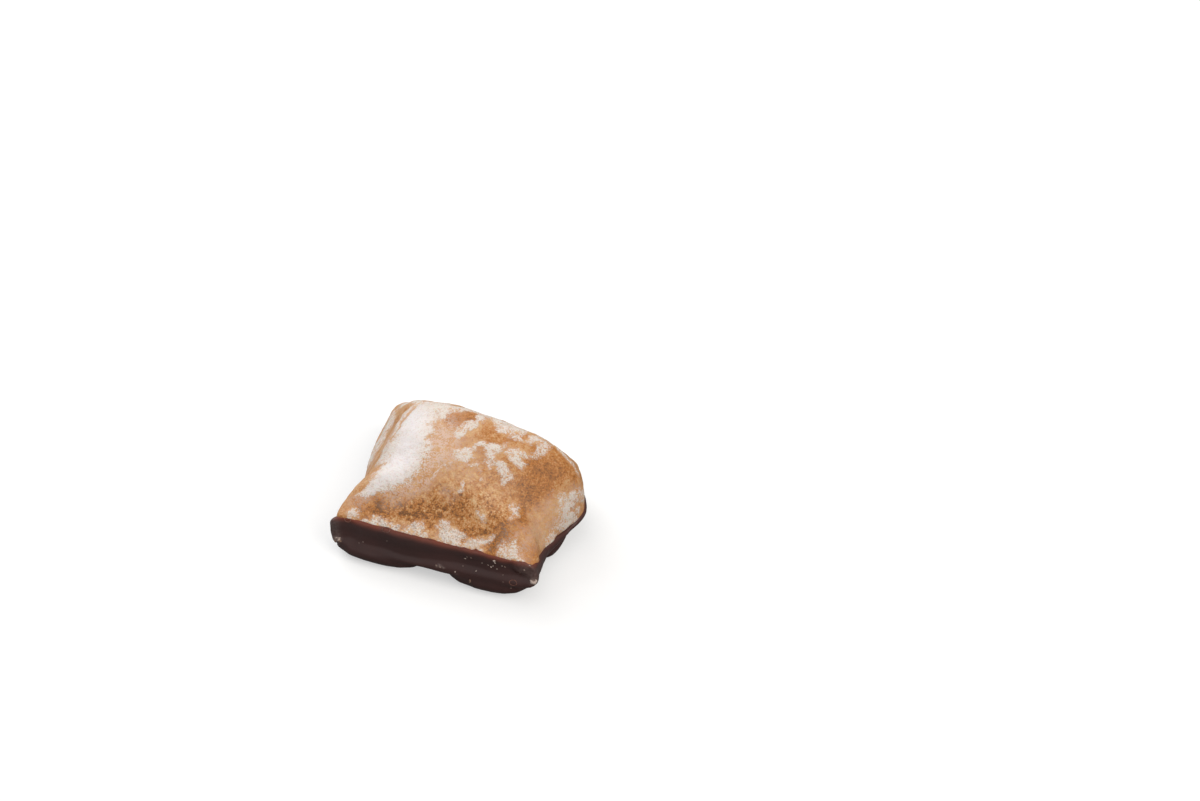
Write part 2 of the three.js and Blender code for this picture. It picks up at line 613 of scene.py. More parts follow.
def grain_group() -> bpy.types.NodeTree:
    """Draws up the fine grain of sugar, crumb and chocolate, once for all finishes.

    Returns:
        A group that takes a place and a grain size in millimetres, and gives the grain and its loose dots.
    """
    name = "fine_grain"
    if name in bpy.data.node_groups:
        return bpy.data.node_groups[name]
    tree = bpy.data.node_groups.new(name, "ShaderNodeTree")
    tree.interface.new_socket("Place", in_out="INPUT", socket_type="NodeSocketVector")
    tree.interface.new_socket("Size", in_out="INPUT", socket_type="NodeSocketFloat")
    tree.interface.new_socket("Grain", in_out="OUTPUT", socket_type="NodeSocketFloat")
    tree.interface.new_socket("Dots", in_out="OUTPUT", socket_type="NodeSocketFloat")
    sketch = NodeSketch(tree)
    given = tree.nodes.new("NodeGroupInput").outputs
    result = tree.nodes.new("NodeGroupOutput").inputs
    scale = sketch.math("DIVIDE", 1 / MM, given["Size"])
    fine = sketch.add("TexNoise", {"Vector": given["Place"], "Scale": scale, "Detail": GRAIN_DETAIL}).outputs[0]
    sketch.put(result["Grain"], sketch.step(fine, *GRAIN_SPAN))
    sparse = sketch.math("MULTIPLY", scale, DOT_DENSITY)
    cells = sketch.add("TexVoronoi", {"Vector": given["Place"], "Scale": sparse})
    sketch.put(result["Dots"], sketch.step(cells.outputs["Distance"], *DOT_SPAN))
    return tree


@dataclass(frozen=True)
class CrustFinish:
    """Baked crust under a sugar glaze that has dried to grainy white patches."""

    pale: Colour = srgb(211, 174, 132)
    caramel: Colour = srgb(195, 148, 102)
    amber: Colour = srgb(175, 113, 56)
    dark: Colour = srgb(118, 79, 48)
    film: Colour = srgb(210, 183, 166)
    cream: Colour = srgb(217, 208, 199)
    # The frost_and_sheen white is whiter and bluer than the cream: glaze, with a painted sheen where the left
    # shoulder catches the light.
    frost_and_sheen: Colour = srgb(227, 221, 221)

    # The patterns, and where the pores and cracks are in them.
    grain: float = 0.33
    broad: Pattern = (9.0, 2.0, 0.5)
    cloudy: Pattern = (3.4, 4.0, 0.6)
    patchy: Pattern = (2.2, 4.0, 0.6)
    veined: Pattern = (1.8, 3.0, 0.6)
    lacy: Pattern = (1.4, 5.0, 0.75)
    small: Pattern = (0.95, 3.0, 0.6)
    porous: Pattern = (0.42, 1.0, 0.5)
    pores: Span = (0.55, 0.72)
    cracks: Span = (0.025, 0.005)
    cracked: Span = (0.42, 0.58)

    # The toasting, and how far the patterns carry it. All lines but the first go by the mottling.
    toasting: Line = (0.46, 0.38)
    broad_cloudy_lacy_tones: tuple[float, ...] = (0.5, 0.7, 0.9)
    small_tone: Line = (1.2, 0.7)
    darkest: Line = (0.3, 0.84)
    darkest_easing: float = 0.3
    grain_tone: Line = (0.2, 0.34)
    speck_tone: float = 0.2
    speck_start: float = 0.5
    flecks: Step = (0.42, 0.58, -0.4)
    fleck_start: float = 0.25
    stops: tuple[float, ...] = (0.0, 0.32, 0.64, 1.0)

    # The glaze: how far the patterns fray it and streak its film, and where film, white and holes show.
    patchy_lacy_grain_frays: tuple[float, ...] = (1.4, 3.2, 0.8)
    frost_fray: float = -0.3
    fray: Line = (0.7, 0.2)
    frost_gain: float = 0.4
    streak_level: float = 0.5
    cloudy_lacy_grain_streaks: tuple[float, ...] = (1.4, 3.2, 1.0)
    streaks: Span = (0.1, 0.8)
    halo: Step = (0.15, 0.6, 0.5)
    white: Step = (0.3, 0.76, 0.96)
    holes: Line = (0.5, 0.3)
    frost_holes: float = -0.1

    roughness: Line = (0.14, 0.4)
    specular: float = 0.25
    subsurface: float = 0.08
    subsurface_depth: float = 0.8 * MM
    white_height: float = 0.5
    grain_height: float = 0.5
    bump: Bump = (0.5, 0.14)

    def build(self) -> Material:
        """Draws up the material.

        Returns:
            The finished material. It reads the attributes glaze, frost_and_sheen, film, toast and mottle.
        """
        material, sketch, shader = start_material("glazed_crust")
        place = sketch.place()
        grain = sketch.group(grain_group(), {"Place": place, "Size": self.grain}).outputs
        mottle = sketch.attribute("mottle")
        sizes = (self.broad, self.cloudy, self.patchy, self.small, self.lacy, self.porous, self.veined)
        broad, cloudy, patchy, small, lacy, porous, veined = (sketch.noise(place, *size) for size in sizes)
        pores = sketch.step(porous, *self.pores)
        veins = sketch.math("ABSOLUTE", sketch.math("SUBTRACT", veined, 0.5))
        cracks = sketch.math("MULTIPLY", sketch.step(veins, *self.cracks), sketch.step(patchy, *self.cracked))
        marks = sketch.math("MAXIMUM", pores, cracks)

        # How deep the crust is toasted, 0 for pale and 1 for dark.
        tone = sketch.waves(
            sketch.line(sketch.attribute("toast"), *self.toasting),
            *zip((broad, cloudy, lacy), self.broad_cloudy_lacy_tones),
            (small, sketch.line(mottle, *self.small_tone)),
        )
        tone = sketch.math("SMOOTH_MIN", tone, sketch.line(mottle, *self.darkest), self.darkest_easing)
        tone = sketch.wave(grain["Grain"], sketch.line(mottle, *self.grain_tone), tone)
        specks = sketch.math("MULTIPLY", marks, sketch.math("ADD", mottle, self.speck_start))
        tone = sketch.line(specks, self.speck_tone, tone)
        flecks = sketch.math("MULTIPLY", grain["Dots"], sketch.step(cloudy, *self.flecks))
        tone = sketch.line(flecks, sketch.math("ADD", mottle, self.fleck_start), tone)
        crust = sketch.ramp(tone, tuple(zip(self.stops, (self.pale, self.caramel, self.amber, self.dark))))

        # The glaze: a thin film, then the grainy white patches in it.
        glaze = sketch.attribute("glaze")
        frost_and_sheen = sketch.attribute("frost_and_sheen")
        ragged = sketch.waves(0.0, *zip((patchy, lacy, grain["Grain"]), self.patchy_lacy_grain_frays))
        # Along frost_and_sheen the glaze frays less and covers more, so the shoulder reads as solid white: denser
        # glaze, partly a painted sheen.
        ragged = sketch.math("MULTIPLY", ragged, sketch.line(frost_and_sheen, self.frost_fray, 1.0))
        drift = sketch.line(ragged, sketch.line(glaze, *self.fray), glaze)
        drift = sketch.line(frost_and_sheen, self.frost_gain, drift)
        swings = zip((cloudy, lacy, grain["Grain"]), self.cloudy_lacy_grain_streaks)
        streaks = sketch.waves(self.streak_level, *swings)
        thin = sketch.math("MULTIPLY", sketch.attribute("film"), sketch.step(streaks, *self.streaks))
        thin = sketch.math("MAXIMUM", thin, sketch.step(drift, *self.halo))
        filmed = sketch.mix(thin, crust, self.film)
        white = sketch.step(drift, *self.white)
        # Where frost_and_sheen lies the white turns bluish: a painted sheen on the glaze of the left shoulder.
        grainy = sketch.mix(white, filmed, sketch.mix(frost_and_sheen, self.cream, self.frost_and_sheen))
        holes = sketch.line(frost_and_sheen, self.frost_holes, sketch.line(mottle, *self.holes))
        pits = sketch.math("MULTIPLY", sketch.math("MULTIPLY", marks, white), holes)
        sketch.put(shader["Base Color"], sketch.mix(pits, grainy, sketch.mix(mottle, self.amber, self.dark)))

        sketch.put(shader["Roughness"], sketch.line(grain["Grain"], *self.roughness))
        shader["Specular IOR Level"].default_value = self.specular
        shader["Subsurface Weight"].default_value = self.subsurface
        shader["Subsurface Scale"].default_value = self.subsurface_depth
        height = sketch.line(white, self.white_height, sketch.line(grain["Grain"], self.grain_height, small))
        sketch.put(shader["Normal"], sketch.bump(height, *self.bump))
        return material


@dataclass(frozen=True)
class ChocolateFinish:
    """Dark satin chocolate, reddish where it runs out thin, greyish where it has bloomed, and lighter where a
    painted sheen lies.
    """

    dark: Colour = srgb(53, 26, 23)
    lighter: Colour = srgb(61, 31, 27)
    thin: Colour = srgb(108, 42, 16)
    # A greyish colour for fat bloom and scuffs, and also laid as a painted sheen where the chocolate catches the
    # light.
    bloom_and_sheen: Colour = srgb(128, 112, 106)
    grain: float = 0.5
    broad: Pattern = (6.0, 3.0, 0.5)
    lighter_span: Span = (0.3, 0.7)
    thin_start: float = 0.4
    bloom_and_sheen_start: float = 0.3
    roughness: Line = (0.2, 0.3)
    thin_roughness: float = 0.4
    specular: float = 0.52
    grain_height: float = 0.4
    bump: Bump = (0.25, 0.1)

    def build(self) -> Material:
        """Draws up the material.

        Returns:
            The finished material. It reads the attributes thin and bloom_and_sheen.
        """
        material, sketch, shader = start_material("dark_chocolate")
        place = sketch.place()
        grain = sketch.group(grain_group(), {"Place": place, "Size": self.grain}).outputs["Grain"]
        broad = sketch.noise(place, *self.broad)
        thin = sketch.attribute("thin")
        colour = sketch.mix(sketch.step(broad, *self.lighter_span), self.dark, self.lighter)
        runout = sketch.math("MULTIPLY", thin, sketch.math("ADD", broad, self.thin_start))
        colour = sketch.mix(runout, colour, self.thin)
        # Lightens towards the greyish colour where bloom_and_sheen lies: real bloom and scuffs, and painted
        # highlights.
        bloom_and_sheen = sketch.math("MULTIPLY", sketch.attribute("bloom_and_sheen"), sketch.math("ADD", grain, self.bloom_and_sheen_start))
        sketch.put(shader["Base Color"], sketch.mix(bloom_and_sheen, colour, self.bloom_and_sheen))
        rough = sketch.line(thin, self.thin_roughness, sketch.line(broad, *self.roughness))
        sketch.put(shader["Roughness"], rough)
        shader["Specular IOR Level"].default_value = self.specular
        height = sketch.line(grain, self.grain_height, broad)
        sketch.put(shader["Normal"], sketch.bump(height, *self.bump))
        return material


# The cookie


@dataclass
class Gingerbread:
    """The pillow of baked dough. Sizes are in millimetres."""

    camera: PhotoCamera
    voxel: float = 0.26
    subdivisions: int = 2
    smoothing_rounds: int = 6
    lump: float = 0.22
    lump_size: float = 6.0
    wrinkle: float = 0.09
    wrinkle_size: float = 1.6
    pit: float = 0.25
    pit_size: float = 0.9
    pit_level: float = 0.1
    glaze_cover: float = 0.77
    glaze_thickness: float = 0.12
    glaze_edge: Span = (0.3, 0.8)

    # The sides that don't show: where they begin, the size of their patches, and how much of each there is.
    hidden: Span = (0.0, -0.25)
    patch_size: float = 7.0
    fray_size: float = 3.0
    fray: float = 0.4
    patches: Span = (-0.2, 0.4)
    toast_size: float = 6.0
    toasted: Span = (0.0, 0.6)
    hidden_film: float = 0.3
    hidden_mottle: float = 0.5

    # Where the dough stands out, and by how much.
    bulge: float = 0.7
    bulges: Strokes = strokes(
        (2.6, 1.0, (526, 550), (535, 561)), (1.5, 0.6, (540, 551), (549, 542)),
    )

    glaze: Strokes = strokes(
        # The band down the left shoulder.
        (2.6, 1.0, (426, 405), (420, 419)), (4.1, 1.0, (416, 419), (413, 436), (409, 452)),
        (3.5, 0.95, (410, 450), (402, 462), (390, 473)), (1.8, 0.6, (420, 459), (412, 472)),
        (2.0, 1.0, (390, 474), (377, 484)), (1.0, 0.75, (378, 484), (366, 493)),
        (0.8, 0.55, (372, 489), (358, 498)),
        (1.5, 0.9, (406, 413), (399, 425), (392, 438), (385, 450), (380, 461)),
        (2.6, 0.95, (400, 407), (391, 421), (383, 436), (377, 448), (371, 460)),
        (1.5, 0.85, (391, 447), (384, 459)), (1.5, 0.85, (440, 408), (446, 413)),
        (1.4, 0.9, (406, 404), (418, 402)), (0.7, 0.65, (447, 463), (438, 469), (433, 477)),
        # The strip along the back.
        (1.5, 1.0, (437, 404), (452, 407), (476, 412)), (1.2, 1.0, (476, 412), (500, 421), (524, 431)),
        (0.8, 0.75, (534, 434), (556, 447), (570, 460), (578, 474)),
        # The upper patches.
        (1.1, 0.9, (482, 417), (473, 424)), (1.2, 0.85, (471, 425), (463, 430)),
        (1.0, 0.7, (461, 432), (459, 437)), (1.4, 0.85, (499, 424), (505, 428)),
        (1.5, 0.9, (507, 430), (514, 434)), (0.7, 0.75, (516, 437), (524, 442), (530, 443)),
        (0.9, 0.8, (533, 438)), (1.2, 0.85, (540, 441), (547, 447)), (1.6, 0.95, (460, 456), (468, 454)),
        (0.8, 0.6, (457, 451)), (0.6, 0.6, (470, 449), (478, 446), (484, 446)),
        (1.0, 0.8, (488, 446), (496, 448)), (1.1, 0.85, (490, 453), (489, 460)),
        (0.9, 0.7, (500, 449), (507, 446)), (1.1, 0.85, (511, 453), (518, 456)),
        (1.2, 0.9, (518, 459), (521, 467)), (0.9, 0.65, (526, 456), (534, 457)),
        (0.9, 0.6, (536, 454), (543, 451)), (1.0, 0.9, (500, 465), (503, 470)),
        (0.8, 0.9, (506, 477), (503, 482)), (0.8, 0.8, (472, 468), (479, 467)), (0.7, 0.8, (481, 479)),
        (0.8, 0.8, (462, 484), (462, 488)),
        # The right side.
        (1.2, 0.95, (571, 497), (578, 494), (584, 496)), (0.9, 0.55, (555, 493), (560, 498)),
        (1.8, 0.95, (566, 504), (569, 513), (567, 523)), (0.8, 0.7, (578, 508), (577, 516)),
        (1.8, 0.65, (562, 520), (556, 530), (549, 541)),
        (0.5, 0.7, (543, 553), (549, 545), (558, 536), (566, 528), (573, 520)),
        (1.0, 0.75, (513, 511), (517, 508)), (0.9, 0.65, (511, 517), (516, 514)),
        (0.9, 0.75, (481, 513), (484, 519)),
        # Above the front of the chocolate.
        (0.9, 0.75, (349, 511), (356, 512)), (0.8, 0.5, (377, 517), (386, 520)),
        (0.9, 0.75, (376, 522), (394, 527)), (1.1, 0.75, (411, 526), (420, 525)),
        (0.8, 0.7, (412, 531), (424, 533)), (1.4, 0.9, (442, 527), (449, 530)),
        (1.4, 0.9, (448, 534), (458, 539)), (0.9, 0.55, (462, 540), (474, 544)),
        (1.0, 0.7, (476, 541), (488, 545)), (0.8, 0.6, (492, 537), (489, 542)),
        (1.4, 0.85, (504, 556), (510, 551)), (1.5, 0.75, (507, 548), (511, 543)),
        (1.0, 0.5, (511, 557), (516, 557)), (0.35, 0.9, (350, 516), (366, 522), (382, 528)),
        (0.75, 0.6, (366, 521), (398, 531), (424, 538), (450, 545), (480, 552)),
        (0.5, 0.75, (505, 558), (520, 561), (537, 563)),
    )
    worn: Strokes = strokes(
        (0.5, 0.75, (413, 408), (403, 422), (393, 437)), (0.35, 0.3, (393, 437), (384, 450), (373, 466)),
        (0.9, 0.8, (371, 466), (359, 481), (350, 497), (344, 508)), (0.7, 0.5, (396, 408), (391, 412)),
        (0.9, 0.7, (380, 431)), (0.5, 0.5, (436, 401), (448, 403)),
    )
    # Denser glaze down the left shoulder, and a painted sheen there: its white turns to the bluish frost_and_sheen
    # colour.
    frost_and_sheen: Strokes = strokes(
        (1.9, 0.7, (414, 413), (410, 422)), (3.2, 0.85, (414, 425), (409, 442), (402, 460)),
        (2.4, 0.8, (403, 459), (390, 473)), (1.1, 0.6, (388, 476), (372, 488)),
    )
    film: Strokes = strokes(
        (2.8, 0.85, (444, 424), (441, 445), (434, 465), (414, 480), (392, 490)),
        (3.0, 0.45, (452, 440), (466, 464)), (1.8, 0.6, (432, 454), (424, 471)),
        (1.2, 0.6, (412, 408), (396, 428), (385, 444), (374, 461), (360, 480)),
        (2.0, 0.4, (536, 514), (540, 522), (533, 536)), (1.6, 0.5, (551, 504), (558, 512)),
        (2.0, 0.8, (576, 495), (568, 504), (568, 514), (562, 524)), (2.0, 0.6, (558, 520), (545, 540)),
        (2.0, 0.35, (512, 534), (525, 548)), (1.2, 0.4, (440, 411), (462, 410)),
        (1.0, 0.35, (366, 520), (402, 530), (440, 538), (480, 549)), (4.0, 0.2, (480, 470), (500, 490)),
        (1.2, 0.5, (354, 503), (368, 499)), (1.5, 0.55, (513, 545), (522, 555)),
        (1.2, 0.4, (446, 490), (453, 495)),
    )
    toast: Strokes = strokes(
        (1.8, 0.8, (453, 417), (475, 417)), (1.2, 0.6, (455, 424), (468, 424)),
        (1.3, 0.3, (484, 432), (495, 429)), (1.1, 0.3, (496, 441), (512, 439)),
        (2.0, 0.2, (505, 478), (512, 500)), (2.0, 0.4, (524, 536), (530, 555)),
        (3.0, 0.2, (487, 470), (505, 476)), (0.7, 0.5, (515, 435), (528, 436)),
        (2.6, 0.55, (548, 458), (565, 465), (577, 480)), (3.2, 0.6, (534, 470), (552, 476), (540, 486)),
        (1.7, 0.4, (526, 492), (532, 500)), (1.1, 0.6, (523, 510), (522, 520)),
        (2.0, 0.5, (498, 523), (507, 528)), (1.4, 0.9, (500, 533), (497, 543), (491, 552)),
        (1.4, 0.5, (461, 499), (465, 505)), (3.2, 0.2, (385, 504), (440, 510), (480, 518)),
        (1.5, 0.3, (430, 505), (438, 512), (432, 520)), (1.6, 0.8, (406, 514), (422, 518)),
        (1.2, 0.75, (381, 511), (388, 515)), (1.6, 0.5, (356, 506), (366, 507), (380, 507)),
        (1.3, 0.7, (468, 532), (479, 530)), (0.7, 0.7, (575, 500), (572, 510), (574, 518)),
        (1.4, 0.4, (528, 554), (536, 558)),
    )
    mottle: Strokes = strokes(
        (3.5, 1.0, (390, 509), (410, 508), (430, 508), (460, 503), (490, 512), (482, 530)),
        (1.5, 0.8, (366, 520), (402, 528), (440, 534), (480, 547)),
        (4.0, 0.45, (470, 480), (500, 486), (508, 500)),
    )

    def build(self) -> Piece:
        """Models the pillow and dresses it.

        Returns:
            The finished piece.
        """
        piece = copy_of_node(Node.GINGERBREAD, "glazed_gingerbread")
        self._shape(piece)
        self._glaze(piece)
        select_only(piece)
        bpy.ops.object.shade_smooth()
        piece.data.materials.append(CrustFinish().build())
        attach(piece, "root")
        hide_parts(Node.GINGERBREAD.value)
        return piece

    def _shape(self, piece: Piece) -> None:
        """Rounds the solid's facets off and gives it an even, fine mesh with the crust's relief.

        Args:
            piece: the solid's copy, which is the active object.
        """
        with editing():
            bpy.ops.mesh.tris_convert_to_quads(face_threshold=math.pi, shape_threshold=math.pi)
        finish_with(piece, "SUBSURF", levels=self.subdivisions, render_levels=self.subdivisions)
        finish_with(piece, "REMESH", mode="VOXEL", voxel_size=self.voxel * MM)
        finish_with(piece, "SMOOTH", factor=SMOOTHING, iterations=self.smoothing_rounds)
        points = points_of(piece)
        normals = normals_of(piece)
        relief = self.lump * noise_at(points, self.lump_size, Seed.LUMPS)
        relief += self.wrinkle * noise_at(points, self.wrinkle_size, Seed.WRINKLES)
        swell = self.bulge * Brush(piece, self.camera).lay(self.bulges)
        push = normals * relief[:, None] + normals * SIDEWAYS * swell[:, None]
        move_points(piece, points + push * MM)

    def _glaze(self, piece: Piece) -> None:
        """Paints the glaze and the toasting, and raises the glaze above the crust.

        Args:
            piece: the shaped pillow.
        """
        brush = Brush(piece, self.camera)
        points = brush.points
        normals = normals_of(piece)
        hidden = smoothstep(*self.hidden, normals @ np.array(self.camera.axes.col[2]))
        patchy = noise_at(points, self.patch_size, Seed.PATCHES)
        patchy += self.fray * noise_at(points, self.fray_size, Seed.FRAYING)
        patches = smoothstep(*self.patches, patchy)
        toasted = smoothstep(*self.toasted, noise_at(points, self.toast_size, Seed.TOASTING))
        kept = 1 - brush.lay(self.worn)
        glaze = self.glaze_cover * kept * (brush.lay(self.glaze) * (1 - hidden) + patches * hidden)
        mottle = np.maximum(brush.lay(self.mottle), self.hidden_mottle * hidden)
        set_attribute(piece, "glaze", glaze)
        set_attribute(piece, "frost_and_sheen", kept * brush.lay(self.frost_and_sheen))
        set_attribute(piece, "film", np.maximum(brush.lay(self.film), self.hidden_film * hidden))
        set_attribute(piece, "toast", np.maximum(brush.lay(self.toast), toasted * hidden))
        set_attribute(piece, "mottle", mottle)
        pits = np.minimum(noise_at(points, self.pit_size, Seed.PITS) + self.pit_level, 0)
        raised = self.glaze_thickness * smoothstep(*self.glaze_edge, glaze) + self.pit * mottle * pits
        move_points(piece, points + normals * raised[:, None] * MM)


@dataclass
class ChocolateBase:
    """The chocolate that the gingerbread was dipped in. Sizes are in millimetres."""

    camera: PhotoCamera
    voxel: float = 0.3
    smoothing_rounds: int = 8
    last_rounds: int = 4
    fit_gap: float = 0.3
    gap_reach: float = 1.6
    bite: float = 0.25
    ripple: float = 0.12
    ripple_size: float = 5.0
    outer: Span = (0.4, 0.9)
    dent: float = 0.4
    sectors: int = 180

    # The edge: how far down it is rounded off, how thin it ends, and where it is thin enough to look reddish.
    lip: float = 1.8
    side_lip: float = 1.6
    side_across: Span = (15, 20)
    side_along: Span = (-17, -13)
    lip_power: float = 0.8
    lip_edge: float = 0.2
    lip_start: Span = (-0.1, 0.1)
    rim: Span = (1.1, -0.2)
    rim_on_sides: float = 0.3
    cut_along: Span = (12, 17)

    # Where the edge hangs lower, and by how much.
    sag: float = 1.0
    sag_depth: Span = (2.5, 0.5)
    sags: Strokes = strokes(
        (1.8, 0.85, (541, 550), (547, 543), (556, 535), (566, 528)), (1.5, 0.4, (490, 556), (510, 560)),
        (1.5, 0.9, (532, 560), (540, 552)),
    )

    # How far the wall stands out, by its height as a share of the edge's: on the cuts, and along the sides.
    cut_profile: Profile = (
        (0.0, 0.2), (0.1, 0.2), (0.2, 0.25), (0.33, 0.35), (0.4, 0.1), (0.48, -0.4), (0.62, -0.45), (0.8, -0.1),
        (0.9, 0.0), (1.0, 0.0),
    )
    side_profile: Profile = ((0.0, -0.1), (0.4, -0.2), (0.65, -0.1), (0.85, 0.1), (1.0, 0.0))
    cut_facing: Span = (0.45, 0.9)
    wall_waver: float = 0.04
    wall_waver_size: float = 9.0
    wall_tilt: float = 0.14
    wall_tilt_across: Span = (-6, 8)
    dents: Strokes = strokes(
        (1.5, 1.0, (348, 527), (350, 537)), (1.0, 1.6, (331, 515)), (0.8, 0.9, (330, 519), (329, 523)),
        (1.4, -1.0, (545, 558), (541, 567)), (1.8, -0.9, (550, 554), (560, 545), (569, 535)),
        (1.3, -1.2, (337, 541)), (1.4, -1.8, (537, 572), (534, 582)), (1.0, 0.8, (466, 584), (482, 590)),
        (1.6, 1.0, (512, 566), (516, 570)), (2.0, 0.4, (460, 560), (470, 563)),
    )

    # Bloom and scuffs at the arch, a chip and a crumb; the strokes at the right corner and along the left end are
    # painted highlights where the chocolate catches the light.
    bloom_and_sheen: Strokes = strokes(
        (0.25, 0.8, (436, 566), (444, 569)), (0.25, 0.5, (453, 572), (458, 573)),
        (1.6, 0.2, (526, 568), (534, 574)), (0.6, 0.9, (533, 583), (536, 581)),
        (0.6, 0.6, (335, 539), (340, 541)), (1.4, 0.3, (332, 524), (334, 534)),
    )

    def build(self, gingerbread: Piece) -> Piece:
        """Models the coat and dresses it.

        Args:
            gingerbread: the pillow that it clings to.

        Returns:
            The finished piece.
        """
        piece = copy_of_node(Node.CHOCOLATE, "dipped_chocolate")
        self._cling(piece, tree_of(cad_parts[Node.GINGERBREAD.value]))
        finish_with(piece, "REMESH", mode="VOXEL", voxel_size=self.voxel * MM)
        finish_with(piece, "SMOOTH", factor=SMOOTHING, iterations=self.smoothing_rounds)
        self._sculpt(piece, tree_of(gingerbread))
        finish_with(piece, "SMOOTH", factor=SMOOTHING, iterations=self.last_rounds)
        points = points_of(piece)
        below = self._edge_height(points) - points[:, 2] / MM
        on_cut = smoothstep(*self.cut_along, np.abs(points[:, 1]) / MM)
        share = self.rim_on_sides + (1 - self.rim_on_sides) * on_cut
        set_attribute(piece, "thin", smoothstep(*self.rim, below) * share)
        set_attribute(piece, "bloom_and_sheen", Brush(piece, self.camera).lay(self.bloom_and_sheen))
        select_only(piece)
        bpy.ops.object.shade_smooth()
        piece.data.materials.append(ChocolateFinish().build())
        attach(piece, "root")
        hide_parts(Node.CHOCOLATE.value)
        return piece

    def _edge_height(self, points: np.ndarray) -> np.ndarray:
        """Finds how high the coat reaches.

        Args:
            points: places on the coat.

        Returns:
            Millimetres from the table up to the coat's edge, in each place's direction in plan.
        """
        turn = np.arctan2(points[:, 1], points[:, 0])
        sector = ((turn / math.tau + 0.5) * self.sectors).astype(int) % self.sectors
        height = np.zeros(self.sectors)
        np.maximum.at(height, sector, points[:, 2] / MM)
        middle = (np.arange(self.sectors) + 0.5 - self.sectors / 2) * math.tau / self.sectors
        return np.interp(turn, middle, height, period=math.tau)

    def _sculpt(self, piece: Piece, crust: BVHTree) -> None:
        """Rounds the coat's edge off on the crust, gives the wall its profile, and dents and ripples it.

        Args:
            piece: the coat.
            crust: the glazed pillow's surface.
        """
        points = points_of(piece)
        edge = self._edge_height(points)
        inner = self._above(points, crust)[2] < 0
        sinking = smoothstep(*self.sag_depth, edge - points[:, 2] / MM)
        points[:, 2] -= self.sag * Brush(piece, self.camera).lay(self.sags) * sinking * MM
        _, facing, depth = self._above(points, crust)
        loose = inner & (depth > -self.bite)
        points[loose] -= facing[loose] * (depth[loose, None] + self.bite) * MM
        onto, _, depth = self._above(points, crust)
        on_side = smoothstep(*self.side_across, np.abs(points[:, 0]) / MM)
        on_side *= smoothstep(*self.side_along, points[:, 1] / MM)
        lip = self.lip + self.side_lip * on_side
        round_off = np.clip(1 - (edge - points[:, 2] / MM) / lip, 0, 1)
        thickness = np.maximum((1 - round_off**2) ** self.lip_power, self.lip_edge)
        points = points + onto * ((1 - thickness) * smoothstep(*self.lip_start, depth))[:, None]
        move_points(piece, points)

        normals = normals_of(piece)
        outer = smoothstep(*self.outer, depth)
        share = points[:, 2] / MM / edge + self.wall_waver * noise_at(points, self.wall_waver_size, Seed.WALL)
        share -= self.wall_tilt * smoothstep(*self.wall_tilt_across, points[:, 0] / MM)
        on_cut = smoothstep(*self.cut_facing, np.abs(normals[:, 1]))
        swell = np.interp(share, *zip(*self.cut_profile)) * on_cut
        swell += np.interp(share, *zip(*self.side_profile)) * (1 - on_cut)
        swell -= self.dent * Brush(piece, self.camera).lay(self.dents)
        relief = self.ripple * noise_at(points, self.ripple_size, Seed.RIPPLES)
        push = normals * SIDEWAYS * swell[:, None] + normals * relief[:, None]
        points = points + push * outer[:, None] * MM
        points[:, 2] = np.maximum(points[:, 2], 0)
        move_points(piece, points)

    def _above(self, points: np.ndarray, crust: BVHTree) -> tuple[np.ndarray, np.ndarray, np.ndarray]:
        """Finds where places lie above the crust.

        Args:
            points: the places.
            crust: the crust's surface.

        Returns:
            The way from each place to the crust, the crust's direction there, and the height in millimetres.
        """
        nearest = [crust.find_nearest(Vector(point)) for point in points]
        onto = np.array([place for place, _, _, _ in nearest]) - points
        facing = np.array([normal for _, normal, _, _ in nearest])
        return onto, facing, np.einsum("ij,ij->i", facing, -onto) / MM

    def _cling(self, piece: Piece, crust: BVHTree) -> None:
        """Closes the gap by pushing the inner wall into the crust.

        Args:
            piece: the coat.
            crust: the pillow's surface.
        """
        points = points_of(piece)
        depth = np.array([crust.find_nearest(Vector(point))[3] for point in points])
        inner = depth < self.gap_reach * self.fit_gap * MM
        points[inner] += normals_of(piece)[inner] * (self.fit_gap + self.bite) * MM
        move_points(piece, points)


@dataclass(frozen=True)
class CrumbFinish:
    """Dry crumbs and sugar, matte, lighter and darker by turns."""

    name: str
    light: Colour
    dark: Colour
    grain: float = 0.3
    blotchy: Pattern = (0.8, 2.0, 0.5)
    blotches: Span = (0.35, 0.65)
    roughness: Line = (0.2, 0.5)
    bump: Bump = (0.4, 0.08)

    def build(self) -> Material:
        """Draws up the material.

        Returns:
            The finished material.
        """
        material, sketch, shader = start_material(self.name)
        place = sketch.place()
        grain = sketch.group(grain_group(), {"Place": place, "Size": self.grain}).outputs["Grain"]
        share = sketch.step(sketch.noise(place, *self.blotchy), *self.blotches)
        sketch.put(shader["Base Color"], sketch.mix(share, self.dark, self.light))
        sketch.put(shader["Roughness"], sketch.line(grain, *self.roughness))
        sketch.put(shader["Normal"], sketch.bump(grain, *self.bump))
        return material


@dataclass(frozen=True)
class Crumb:
    """One crumb or ring: where it shows in the photograph, its length in millimetres, its height as a share."""

    pixel: Pixel
    length: float
    flatness: float


def spread(flatness: float, *spots: tuple[float, float, float]) -> tuple[Crumb, ...]:
    """Returns crumbs of one flatness, each given by its pixel and its length."""
    return tuple(Crumb((across, down), length, flatness) for across, down, length in spots)


